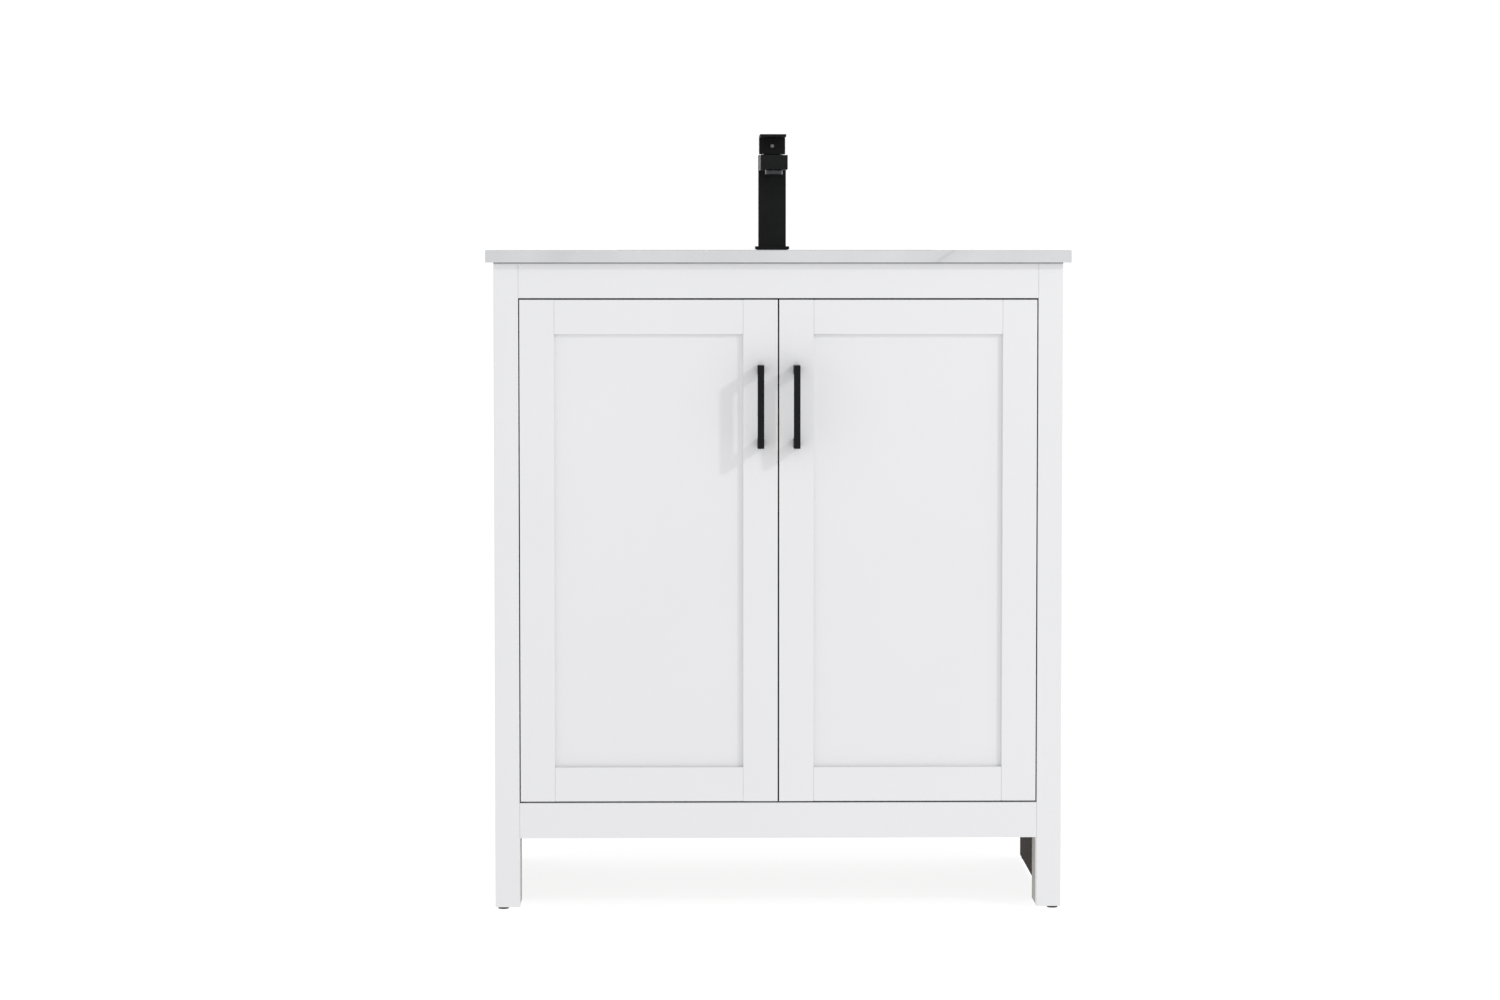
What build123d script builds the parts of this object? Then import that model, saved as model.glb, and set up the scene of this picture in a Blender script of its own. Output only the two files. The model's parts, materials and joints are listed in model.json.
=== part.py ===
from build123d import *
import math
import os

# Bathroom vanity cabinet: a painted face-frame carcass with two inset shaker doors, a stone counter,
# an undermount ceramic basin with its drain, and a single-hole square faucet.
# Millimetres. +Z is up and the doors face -Y. The origin is on the floor, under the middle of the
# bounding box. Left is -X, seen from the front.

# Whole object
TOTAL_HEIGHT = 863.6          # floor to counter top
COUNTER_WIDTH = 762.0
COUNTER_DEPTH = 483.0
COUNTER_THICKNESS = 16.0
COUNTER_EDGE_RADIUS = 1.2
SIDE_OVERHANG = 10.0
FRONT_OVERHANG = 12.5
PULL_PROJECTION = 35.0

# Carcass
BOARD = 16.0
STILE_WIDTH = 32.0
FRAME_THICKNESS = 20.0
RAIL_HEIGHT = 46.4
TOE_HEIGHT = 94.0             # floor to the bottom rail
GLIDE_HEIGHT = 3.0
GLIDE_RADIUS = 7.0
GLIDE_FROM_SIDE = 10.0        # glide centre from the cabinet's outer side
GLIDE_FROM_FACE = 11.0
HINGE_STRIP_DEPTH = 51.0
DOOR_LAP = 10.0               # how far the bottom panel and the stretcher back the doors
CLEAT_SIZE = 18.0
BACK_RAIL_HEIGHT = 100.0
BACK_PANEL_THICKNESS = 6.0
WALL_HOLE_SPACING = 406.4     # 16 inch stud spacing
WALL_HOLE_RADIUS = 3.0
CORNER_BLOCK_LEG = 60.0
CORNER_BLOCK_THICKNESS = 18.0

# Doors
DOOR_THICKNESS = 18.0
DOOR_SIDE_GAP = 1.5
DOOR_END_GAP = 2.0
DOOR_CENTRE_GAP = 2.0
DOOR_MEMBER = 45.0            # width of door stiles and rails
PANEL_RECESS = 6.0
PANEL_THICKNESS = 6.0
GROOVE_DEPTH = 6.0
PANEL_PLAY = 0.5

# Pulls
PULL_LENGTH = 108.0
PULL_SECTION = 8.5
PULL_POST_HEIGHT = 12.0
PULL_BELOW_DOOR_TOP = 138.8   # pull centre under the door's top edge
PULL_TO_SEAM = 23.5           # pull centre to the middle of the cabinet
PULL_EDGE = 0.6
SCREW_RADIUS = 2.0
SCREW_HEAD_RADIUS = 4.5
SCREW_HEAD_HEIGHT = 2.4
SCREW_IN_POST = 14.0

# Concealed hinges
CUP_RADIUS = 17.5
CUP_DEPTH = 11.5
CUP_INSET = 20.5              # cup centre from the door's outer edge
CUP_WALL = 1.2
CUP_FLANGE_RADIUS = 19.0
CUP_FLANGE_THICKNESS = 1.2
CUP_WING_LENGTH = 62.0
CUP_WING_WIDTH = 14.0
HINGE_FROM_END = 95.0         # hinge centre from the door's top or bottom edge
HINGE_PLATE_THICKNESS = 4.0
HINGE_PLATE_DEPTH = 36.0
HINGE_PLATE_HEIGHT = 50.0
HINGE_PLATE_FRONT = 12.0      # plate behind the face frame
HINGE_ARM_WIDTH = 16.0
HINGE_ARM_THICKNESS = 9.0
HINGE_TOE_DEPTH = 7.0
HINGE_TOE_BEHIND_DOOR = 2.5
HINGE_TOE_REACH = 29.0
BUMPER_RADIUS = 4.0
BUMPER_THICKNESS = 1.5

# Basin
BOWL_WIDTH = 425.0            # counter cut-out
BOWL_LENGTH = 290.0
BOWL_CORNER = 45.0
BOWL_CENTRE_BEHIND_FACE = 207.0
BOWL_REVEAL = 3.0             # bowl wider than the cut-out on each side
BOWL_DEPTH = 140.0            # below the counter's underside
BOWL_TAPER = 8.0
BOWL_FLOOR_RADIUS = 28.0
BASIN_WALL = 9.0
FLANGE_WIDTH = 18.0
FLANGE_THICKNESS = 12.0
DISH_RADIUS = 95.0
DISH_DEPTH = 3.0
OVERFLOW_BELOW_COUNTER = 36.0
OVERFLOW_RADIUS = 11.0
OVERFLOW_LIP_RADIUS = 14.5
OVERFLOW_LIP_THICKNESS = 2.0
OVERFLOW_BORE_RADIUS = 8.5
DUCT_WIDTH = 28.0
DUCT_GAP = 8.0
DUCT_WALL = 6.0
CLIP_WIDTH = 20.0
CLIP_THICKNESS = 3.0
CLIP_BOLT_RADIUS = 3.0
CLIP_BOLT_IN_COUNTER = 8.0
CLIP_OFFSET = 80.0            # clips either side of the bowl centre
CLIP_GRIP = 5.5               # under the basin flange
CLIP_BOLT_OUTSIDE = 10.0      # bolt beyond the basin flange
CLIP_FOOT = 12.0              # clip beyond its bolt
CLIP_NUT_HEIGHT = 5.0
CLIP_BOLT_TAIL = 4.0

# Drain
DRAIN_HOLE_RADIUS = 22.5
DRAIN_NECK_RADIUS = 21.5
DRAIN_BORE_RADIUS = 17.5
DRAIN_LIP_RADIUS = 32.0
DRAIN_LIP_THICKNESS = 2.5
DRAIN_NECK_LENGTH = 62.0
DRAIN_GASKET_RADIUS = 33.0
DRAIN_GASKET_HEIGHT = 5.0
DRAIN_NUT_RADIUS = 32.0
DRAIN_NUT_HEIGHT = 9.0
DRAIN_BODY_RADIUS = 24.5
DRAIN_BODY_LENGTH = 46.0
DRAIN_SOCKET_DEPTH = 12.0
TAILPIECE_RADIUS = 15.875     # 1 1/4 inch tube
TAILPIECE_WALL = 1.6
TAILPIECE_LENGTH = 98.0       # below the drain body
TAILPIECE_SPIGOT_RADIUS = 15.4
STOPPER_RADIUS = 29.0
STOPPER_THICKNESS = 4.0
STOPPER_GAP = 0.5
STOPPER_STEM_RADIUS = 5.0
STOPPER_STEM_LENGTH = 74.0
SLIDING_CLEARANCE = 0.3
SPIDER_THICKNESS = 6.0
SPIDER_HUB_RADIUS = 8.0
SPIDER_ARM_WIDTH = 3.0

# Faucet, heights above the counter
FAUCET_FROM_REAR = 60.0       # faucet axis from the counter's rear edge
FAUCET_HOLE_RADIUS = 17.5     # 35 mm faucet hole
BASE_PLATE_SIZE = 47.0
BASE_PLATE_TOP = 5.0
FAUCET_GASKET_SIZE = 43.0
FAUCET_GASKET_THICKNESS = 0.8
COLUMN_SIZE = 38.0
COLUMN_TOP = 131.5
SPOUT_WIDTH = 37.0
SPOUT_BOTTOM = 109.7
SPOUT_TOP = 129.2
SPOUT_REACH = 124.0           # from the column's front face
SPOUT_WALL = 4.0
AERATOR_FROM_TIP = 19.0       # aerator axis behind the spout's tip
AERATOR_RADIUS = 11.75
AERATOR_THREAD_RADIUS = 10.5
AERATOR_DROP = 6.4
AERATOR_BORE_RADIUS = 8.5
AERATOR_BORE_DEPTH = 3.0
CARTRIDGE_RADIUS = 14.5
CARTRIDGE_HEIGHT = 52.0
CARTRIDGE_NUT_RADIUS = 17.0
CARTRIDGE_NUT_HEIGHT = 8.0
CARTRIDGE_BORE_DEPTH = 14.0
INLET_RADIUS = 3.0
INLET_OFFSET = 7.0
INLET_THREAD_RADIUS = 4.45    # M10 x 1 hose thread, minor diameter
INLET_THREAD_DEPTH = 16.0
INLET_FERRULE_RADIUS = 6.5
INLET_TUBE_RADIUS = 5.0
INLET_BELOW_SHANK = 20.0
SHANK_RADIUS = 16.5
SHANK_BORE_RADIUS = 14.0
SHANK_BELOW_COUNTER = 44.0
FAUCET_WASHER_RADIUS = 26.0
FAUCET_WASHER_THICKNESS = 3.0
FAUCET_NUT_RADIUS = 24.0
FAUCET_NUT_HEIGHT = 12.0
STEM_RADIUS = 7.0
STEM_TONGUE_WIDTH = 10.0
STEM_TONGUE_DEPTH = 8.0
COLLAR_RADIUS = 15.5
STEM_WALL_HEIGHT = 4.0        # low wall on the collar, inside the handle's front
STEM_WALL_THICKNESS = 3.0
STEM_WALL_PLAY = 1.0
HANDLE_SIZE = 36.0
HANDLE_BOTTOM = 133.0
HANDLE_TOP = 155.5
HANDLE_WALL = 5.0
HANDLE_ROOF = 3.0
HANDLE_PIVOT_HEIGHT = 144.0
HANDLE_RELIEF_START = 1.5     # behind the pivot, where the underside starts to rise
HANDLE_RELIEF_ANGLE = 21.0
HANDLE_PIN_RADIUS = 2.0
HANDLE_PIN_LENGTH = 30.0
LEVER_THICKNESS = 3.6
LEVER_REACH = 63.0            # in front of the handle block
INDEX_RADIUS = 2.6
INDEX_PROUD = 0.5
INDEX_DEPTH = 2.5

# Places worked out from the dimensions above
FACE_Y = -(COUNTER_DEPTH - FRONT_OVERHANG - PULL_PROJECTION) / 2
REAR_Y = FACE_Y + COUNTER_DEPTH - FRONT_OVERHANG
FRAME_REAR_Y = FACE_Y + FRAME_THICKNESS
COUNTER_BOTTOM = TOTAL_HEIGHT - COUNTER_THICKNESS
CABINET_HALF = COUNTER_WIDTH / 2 - SIDE_OVERHANG
OPENING_HALF = CABINET_HALF - STILE_WIDTH
SIDE_INNER = CABINET_HALF - BOARD
OPENING_BOTTOM = TOE_HEIGHT + RAIL_HEIGHT
OPENING_TOP = COUNTER_BOTTOM - RAIL_HEIGHT
DOOR_BOTTOM = OPENING_BOTTOM + DOOR_END_GAP
DOOR_TOP = OPENING_TOP - DOOR_END_GAP
DOOR_OUTER = OPENING_HALF - DOOR_SIDE_GAP
DOOR_INNER = DOOR_CENTRE_GAP / 2
DOOR_REAR_Y = FACE_Y + DOOR_THICKNESS
BOTTOM_PANEL_TOP = DOOR_BOTTOM + DOOR_LAP
BOTTOM_PANEL_LOW = BOTTOM_PANEL_TOP - BOARD
STRETCHER_BOTTOM = DOOR_TOP - DOOR_LAP
HINGE_STRIP_REAR_Y = FRAME_REAR_Y + HINGE_STRIP_DEPTH
HINGE_HEIGHTS = (DOOR_BOTTOM + HINGE_FROM_END, DOOR_TOP - HINGE_FROM_END)
BACK_RAIL_FRONT_Y = REAR_Y - BOARD
BOWL_Y = FACE_Y + BOWL_CENTRE_BEHIND_FACE
BOWL_FLOOR = COUNTER_BOTTOM - BOWL_DEPTH
DRAIN_SEAT = BOWL_FLOOR - BASIN_WALL - DUCT_GAP - DUCT_WALL
CLIP_BOLT_X = BOWL_WIDTH / 2 + FLANGE_WIDTH + CLIP_BOLT_OUTSIDE
FAUCET_Y = REAR_Y - FAUCET_FROM_REAR

os.makedirs("parts", exist_ok=True)


def save(shape, node):
    """Write one node."""
    export_step(shape, f"parts/{node}.step")


def block(x_low, x_high, y_low, y_high, z_low, z_high):
    """A box between two corners."""
    size = Box(x_high - x_low, y_high - y_low, z_high - z_low)
    return Pos((x_low + x_high) / 2, (y_low + y_high) / 2, (z_low + z_high) / 2) * size


def upright(x, y, z_low, z_high, radius):
    """A cylinder standing along Z."""
    rod = Cylinder(radius, z_high - z_low)
    return Pos(x, y, (z_low + z_high) / 2) * rod


def along_y(x, y_low, y_high, z, radius):
    """A cylinder lying along Y."""
    rod = Rot(90, 0, 0) * Cylinder(radius, y_high - y_low)
    return Pos(x, (y_low + y_high) / 2, z) * rod


def along_x(x_low, x_high, y, z, radius):
    """A cylinder lying along X."""
    rod = Rot(0, 90, 0) * Cylinder(radius, x_high - x_low)
    return Pos((x_low + x_high) / 2, y, z) * rod


def tube(x, y, z_low, z_high, outer, inner):
    """A round tube standing along Z."""
    return upright(x, y, z_low, z_high, outer) - upright(x, y, z_low, z_high, inner)


def hex_nut(x, y, z_low, z_high, corner_radius, bore):
    """A six-sided nut with its bore along Z."""
    outline = RegularPolygon(corner_radius, 6)
    body = Pos(x, y, z_low) * extrude(outline, z_high - z_low)
    return body - upright(x, y, z_low, z_high, bore)


def mirrored(shape):
    """The same shape on the other side of the cabinet's middle."""
    return mirror(shape, about=Plane.YZ)


def both_sides(shape, left_node, right_node):
    """Save a right-hand piece and its left-hand mirror image as two nodes."""
    save(shape, right_node)
    save(mirrored(shape), left_node)


def pair(shape):
    """A right-hand piece and its left-hand mirror image as a list of solids."""
    return [shape, mirrored(shape)]


# ---------------------------------------------------------------- carcass

def make_face_frame():
    """Two stiles that run to the floor glides, with the rails butted between them."""
    stile = block(OPENING_HALF, CABINET_HALF, FACE_Y, FRAME_REAR_Y, GLIDE_HEIGHT, COUNTER_BOTTOM)
    both_sides(stile, "face_stile_left", "face_stile_right")
    for node, low, high in (
        ("face_rail_bottom", TOE_HEIGHT, OPENING_BOTTOM),
        ("face_rail_top", OPENING_TOP, COUNTER_BOTTOM),
    ):
        save(block(-OPENING_HALF, OPENING_HALF, FACE_Y, FRAME_REAR_Y, low, high), node)


def make_sides():
    """Side panels, and the hinge strips that pack each side out flush with its stile."""
    side = block(SIDE_INNER, CABINET_HALF, FRAME_REAR_Y, REAR_Y, GLIDE_HEIGHT, COUNTER_BOTTOM)
    both_sides(side, "side_panel_left", "side_panel_right")
    strip = block(
        OPENING_HALF, SIDE_INNER, FRAME_REAR_Y, HINGE_STRIP_REAR_Y, GLIDE_HEIGHT, COUNTER_BOTTOM
    )
    both_sides(strip, "hinge_strip_left", "hinge_strip_right")


def make_bottom_panel():
    """The bottom panel, notched round the hinge strips."""
    panel = block(-SIDE_INNER, SIDE_INNER, FRAME_REAR_Y, REAR_Y, BOTTOM_PANEL_LOW, BOTTOM_PANEL_TOP)
    notch = block(
        OPENING_HALF, SIDE_INNER, FRAME_REAR_Y, HINGE_STRIP_REAR_Y, BOTTOM_PANEL_LOW, BOTTOM_PANEL_TOP
    )
    for corner in pair(notch):
        panel -= corner
    save(panel, "bottom_panel")


def make_stretcher_and_back():
    """The front stretcher, which also stops the doors, the back rail and the thin back panel."""
    stretcher = block(
        -OPENING_HALF, OPENING_HALF, FRAME_REAR_Y, FRAME_REAR_Y + BOARD, STRETCHER_BOTTOM, COUNTER_BOTTOM
    )
    save(stretcher, "front_stretcher")
    rail_low = COUNTER_BOTTOM - BACK_RAIL_HEIGHT
    rail = block(-SIDE_INNER, SIDE_INNER, BACK_RAIL_FRONT_Y, REAR_Y, rail_low, COUNTER_BOTTOM)
    hole_z = (rail_low + COUNTER_BOTTOM) / 2
    hole = along_y(WALL_HOLE_SPACING / 2, BACK_RAIL_FRONT_Y, REAR_Y, hole_z, WALL_HOLE_RADIUS)
    for wall_hole in pair(hole):
        rail -= wall_hole
    save(rail, "back_rail")
    panel_front = REAR_Y - BACK_PANEL_THICKNESS
    panel = block(-SIDE_INNER, SIDE_INNER, panel_front, REAR_Y, BOTTOM_PANEL_TOP, rail_low)
    save(panel, "back_panel")


def corner_block(x_corner, y_corner, y_direction):
    """A triangular block in a top right-hand corner."""
    outline = Polyline(
        (x_corner, y_corner),
        (x_corner - CORNER_BLOCK_LEG, y_corner),
        (x_corner, y_corner + y_direction * CORNER_BLOCK_LEG),
        close=True,
    )
    low = COUNTER_BOTTOM - CORNER_BLOCK_THICKNESS
    return Pos(0, 0, low) * extrude(make_face(outline), CORNER_BLOCK_THICKNESS, dir=(0, 0, 1))


def make_support_blocks():
    """Four corner blocks under the counter, and the two cleats that carry the bottom panel."""
    front = corner_block(OPENING_HALF, FRAME_REAR_Y + BOARD, 1)
    rear = corner_block(SIDE_INNER, BACK_RAIL_FRONT_Y, -1)
    cleat = block(
        SIDE_INNER - CLEAT_SIZE,
        SIDE_INNER,
        HINGE_STRIP_REAR_Y,
        REAR_Y,
        BOTTOM_PANEL_LOW - CLEAT_SIZE,
        BOTTOM_PANEL_LOW,
    )
    save(Compound(pair(front) + pair(rear) + pair(cleat)), "support_blocks")


def make_glides():
    """Four floor glides, under the legs and the rear corners."""
    x = CABINET_HALF - GLIDE_FROM_SIDE
    front = upright(x, FACE_Y + GLIDE_FROM_FACE, 0, GLIDE_HEIGHT, GLIDE_RADIUS)
    rear = upright(CABINET_HALF - BOARD / 2, REAR_Y - BOARD, 0, GLIDE_HEIGHT, GLIDE_RADIUS)
    save(Compound(pair(front) + pair(rear)), "floor_glides")


# ---------------------------------------------------------------- doors

def door_stile(x_low, x_high, groove_low, groove_high):
    """A full-height door stile with a groove along its inner edge."""
    stile = block(x_low, x_high, FACE_Y, DOOR_REAR_Y, DOOR_BOTTOM, DOOR_TOP)
    groove_front = FACE_Y + PANEL_RECESS
    groove = block(
        groove_low, groove_high, groove_front, groove_front + PANEL_THICKNESS, DOOR_BOTTOM, DOOR_TOP
    )
    return stile - groove


def door_rail(z_low, z_high, groove_low, groove_high):
    """A door rail with a tongue at each end and a groove along its inner edge."""
    x_low = DOOR_INNER + DOOR_MEMBER
    x_high = DOOR_OUTER - DOOR_MEMBER
    tongue_front = FACE_Y + PANEL_RECESS
    tongue_rear = tongue_front + PANEL_THICKNESS
    rail = block(x_low, x_high, FACE_Y, DOOR_REAR_Y, z_low, z_high)
    tongue_x_low = x_low - GROOVE_DEPTH
    tongue_x_high = x_high + GROOVE_DEPTH
    rail += block(tongue_x_low, tongue_x_high, tongue_front, tongue_rear, z_low, z_high)
    return rail - block(tongue_x_low, tongue_x_high, tongue_front, tongue_rear, groove_low, groove_high)


def door_pull(x, z):
    """A square bar on two posts, cast in one piece, with a threaded hole in each post."""
    half = PULL_LENGTH / 2
    front = FACE_Y - PULL_PROJECTION
    bar_rear = front + PULL_SECTION
    x_low = x - PULL_SECTION / 2
    x_high = x + PULL_SECTION / 2
    pull = block(x_low, x_high, front, bar_rear, z - half, z + half)
    for end in (-1, 1):
        tip = z + end * half
        inner = tip - end * PULL_POST_HEIGHT
        pull += block(x_low, x_high, bar_rear, FACE_Y, min(tip, inner), max(tip, inner))
    pull = chamfer(pull.edges().group_by(Axis.Y)[0], PULL_EDGE)
    for screw_z in pull_screw_heights(z):
        pull -= along_y(x, FACE_Y - SCREW_IN_POST, FACE_Y, screw_z, SCREW_RADIUS)
    return pull


def pull_screw_heights(z):
    """Where the two pull screws are, at the middle of each post."""
    offset = (PULL_LENGTH - PULL_POST_HEIGHT) / 2
    return (z - offset, z + offset)


def pull_screw(x, z):
    """A screw through the door stile into a pull post."""
    shank = along_y(x, FACE_Y - SCREW_IN_POST, DOOR_REAR_Y, z, SCREW_RADIUS)
    head = along_y(x, DOOR_REAR_Y, DOOR_REAR_Y + SCREW_HEAD_HEIGHT, z, SCREW_HEAD_RADIUS)
    return shank + head


def hinge_cup(x, z):
    """A pressed cup with its fixing wings on the back of the door."""
    cup_front = DOOR_REAR_Y - CUP_DEPTH
    flange_rear = DOOR_REAR_Y + CUP_FLANGE_THICKNESS
    cup = along_y(x, cup_front, DOOR_REAR_Y, z, CUP_RADIUS)
    cup += along_y(x, DOOR_REAR_Y, flange_rear, z, CUP_FLANGE_RADIUS)
    wing_x = CUP_WING_WIDTH / 2
    wing_z = CUP_WING_LENGTH / 2
    cup += block(x - wing_x, x + wing_x, DOOR_REAR_Y, flange_rear, z - wing_z, z + wing_z)
    return cup - along_y(x, cup_front + CUP_WALL, flange_rear, z, CUP_RADIUS - CUP_WALL)


def make_door_leaf():
    """The right-hand door and its mirror image, piece by piece."""
    pull_x = PULL_TO_SEAM
    pull_z = DOOR_TOP - PULL_BELOW_DOOR_TOP
    cup_x = DOOR_OUTER - CUP_INSET
    inner_edge = DOOR_INNER + DOOR_MEMBER
    outer_edge = DOOR_OUTER - DOOR_MEMBER
    rail_bottom_top = DOOR_BOTTOM + DOOR_MEMBER
    rail_top_bottom = DOOR_TOP - DOOR_MEMBER

    inner = door_stile(DOOR_INNER, inner_edge, inner_edge - GROOVE_DEPTH, inner_edge)
    outer = door_stile(outer_edge, DOOR_OUTER, outer_edge, outer_edge + GROOVE_DEPTH)
    screws = []
    for z in pull_screw_heights(pull_z):
        inner -= along_y(pull_x, FACE_Y, DOOR_REAR_Y, z, SCREW_RADIUS)
        screws.append(pull_screw(pull_x, z))
    cups = []
    for z in HINGE_HEIGHTS:
        outer -= along_y(cup_x, DOOR_REAR_Y - CUP_DEPTH, DOOR_REAR_Y, z, CUP_RADIUS)
        cups.append(hinge_cup(cup_x, z))

    panel_front = FACE_Y + PANEL_RECESS
    reach = GROOVE_DEPTH - PANEL_PLAY
    panel = block(
        inner_edge - reach,
        outer_edge + reach,
        panel_front,
        panel_front + PANEL_THICKNESS,
        rail_bottom_top - reach,
        rail_top_bottom + reach,
    )
    bumpers = []
    bumper_x = DOOR_INNER + DOOR_MEMBER / 2
    for z in (DOOR_BOTTOM + DOOR_LAP / 2, DOOR_TOP - DOOR_LAP / 2):
        bumpers.append(along_y(bumper_x, DOOR_REAR_Y, DOOR_REAR_Y + BUMPER_THICKNESS, z, BUMPER_RADIUS))

    pieces = {
        "stile_inner": inner,
        "stile_outer": outer,
        "rail_bottom": door_rail(DOOR_BOTTOM, rail_bottom_top, rail_bottom_top - GROOVE_DEPTH, rail_bottom_top),
        "rail_top": door_rail(rail_top_bottom, DOOR_TOP, rail_top_bottom, rail_top_bottom + GROOVE_DEPTH),
        "panel": panel,
        "pull": door_pull(pull_x, pull_z),
        "pull_screws": Compound(screws),
        "hinge_cups": Compound(cups),
        "bumpers": Compound(bumpers),
    }
    for piece, shape in pieces.items():
        both_sides(shape, f"left_door_{piece}", f"right_door_{piece}")


def make_hinge_arms():
    """Mounting plates on the hinge strips, and the arms that reach round to the cups."""
    plates = []
    arms = []
    plate_front = FRAME_REAR_Y + HINGE_PLATE_FRONT
    plate_rear = plate_front + HINGE_PLATE_DEPTH
    plate_x = OPENING_HALF - HINGE_PLATE_THICKNESS
    toe_front = DOOR_REAR_Y + HINGE_TOE_BEHIND_DOOR
    half = HINGE_ARM_WIDTH / 2
    for z in HINGE_HEIGHTS:
        plate_half = HINGE_PLATE_HEIGHT / 2
        plate = block(plate_x, OPENING_HALF, plate_front, plate_rear, z - plate_half, z + plate_half)
        plates += pair(plate)
        arm = block(plate_x - HINGE_ARM_THICKNESS, plate_x, toe_front, plate_rear, z - half, z + half)
        toe_x = OPENING_HALF - HINGE_TOE_REACH
        arm += block(toe_x, plate_x, toe_front, toe_front + HINGE_TOE_DEPTH, z - half, z + half)
        arms += pair(arm)
    save(Compound(plates), "hinge_plates")
    save(Compound(arms), "hinge_arms")


# ---------------------------------------------------------------- counter and basin

def bowl_outline(grow):
    """The cut-out's rounded rectangle, larger by grow on every side."""
    return RectangleRounded(BOWL_WIDTH + 2 * grow, BOWL_LENGTH + 2 * grow, BOWL_CORNER + grow)


def clip_places():
    """The four clips' places along the basin's sides, on the right-hand side of the cabinet."""
    return [BOWL_Y + offset for offset in (-CLIP_OFFSET, CLIP_OFFSET)]


def make_counter():
    """The stone slab with its basin cut-out, faucet hole and blind holes for the clip bolts."""
    half = COUNTER_WIDTH / 2
    front = FACE_Y - FRONT_OVERHANG
    slab = block(-half, half, front, REAR_Y, COUNTER_BOTTOM, TOTAL_HEIGHT)
    slab = fillet(slab.edges(), COUNTER_EDGE_RADIUS)
    slab -= Pos(0, BOWL_Y, COUNTER_BOTTOM) * extrude(bowl_outline(0), COUNTER_THICKNESS)
    slab -= upright(0, FAUCET_Y, COUNTER_BOTTOM, TOTAL_HEIGHT, FAUCET_HOLE_RADIUS)
    for y in clip_places():
        top = COUNTER_BOTTOM + CLIP_BOLT_IN_COUNTER
        for hole in pair(upright(CLIP_BOLT_X, y, COUNTER_BOTTOM, top, CLIP_BOLT_RADIUS)):
            slab -= hole
    save(slab, "counter_top")


def overflow_frame():
    """The middle of the overflow hole on the bowl's rear wall, facing along the wall's normal."""
    drop = OVERFLOW_BELOW_COUNTER
    wall_y = BOWL_Y + BOWL_LENGTH / 2 + BOWL_REVEAL - drop * math.tan(math.radians(BOWL_TAPER))
    return Pos(0, wall_y, COUNTER_BOTTOM - drop) * Rot(-BOWL_TAPER, 0, 0) * Rot(90, 0, 0)


def make_basin():
    """An undermount bowl with a cast overflow duct behind its rear wall and under its floor."""
    at_counter = Pos(0, BOWL_Y, COUNTER_BOTTOM)
    outer_depth = BOWL_DEPTH + BASIN_WALL
    outer = at_counter * extrude(bowl_outline(BOWL_REVEAL + BASIN_WALL), -outer_depth, taper=BOWL_TAPER)
    outer = fillet(outer.edges().group_by(Axis.Z)[0], BOWL_FLOOR_RADIUS + BASIN_WALL)
    flange = at_counter * extrude(bowl_outline(FLANGE_WIDTH), -FLANGE_THICKNESS)

    duct_half = DUCT_WIDTH / 2
    boss_half = duct_half + DUCT_WALL
    duct_front = BOWL_Y + BOWL_LENGTH / 2 + BOWL_REVEAL + BASIN_WALL - DUCT_WALL
    duct_rear = duct_front + DUCT_GAP
    duct_top = COUNTER_BOTTOM - OVERFLOW_BELOW_COUNTER + OVERFLOW_RADIUS
    duct_bottom = DRAIN_SEAT + DUCT_WALL
    boss = block(-boss_half, boss_half, BOWL_Y, duct_rear + DUCT_WALL, DRAIN_SEAT, duct_top + DUCT_WALL)
    drain_boss = upright(0, BOWL_Y, DRAIN_SEAT, BOWL_FLOOR, DRAIN_GASKET_RADIUS + DUCT_WALL)

    inner = at_counter * extrude(bowl_outline(BOWL_REVEAL), -BOWL_DEPTH, taper=BOWL_TAPER)
    inner = fillet(inner.edges().group_by(Axis.Z)[0], BOWL_FLOOR_RADIUS)
    dish = Pos(0, BOWL_Y, BOWL_FLOOR - DISH_DEPTH / 2) * Cone(DRAIN_LIP_RADIUS, DISH_RADIUS, DISH_DEPTH)

    basin = outer + flange + boss + drain_boss
    basin -= inner
    basin -= dish
    basin -= upright(0, BOWL_Y, DRAIN_SEAT, BOWL_FLOOR, DRAIN_HOLE_RADIUS)
    basin -= block(-duct_half, duct_half, duct_front, duct_rear, duct_bottom, duct_top)
    basin -= block(-duct_half, duct_half, BOWL_Y, duct_rear, duct_bottom, duct_bottom + DUCT_GAP)
    hole_length = 2 * (duct_rear - duct_front) + 2 * BASIN_WALL
    basin -= overflow_frame() * Cylinder(OVERFLOW_RADIUS, hole_length)
    save(basin, "basin")


def make_overflow_ring():
    """The bright ring in the overflow hole."""
    lip = Pos(0, 0, OVERFLOW_LIP_THICKNESS / 2) * Cylinder(OVERFLOW_LIP_RADIUS, OVERFLOW_LIP_THICKNESS)
    sleeve = Pos(0, 0, -BASIN_WALL / 2) * Cylinder(OVERFLOW_RADIUS, BASIN_WALL)
    bore_length = 2 * (BASIN_WALL + OVERFLOW_LIP_THICKNESS)
    ring = lip + sleeve - Cylinder(OVERFLOW_BORE_RADIUS, bore_length)
    save(overflow_frame() * ring, "overflow_ring")


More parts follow.
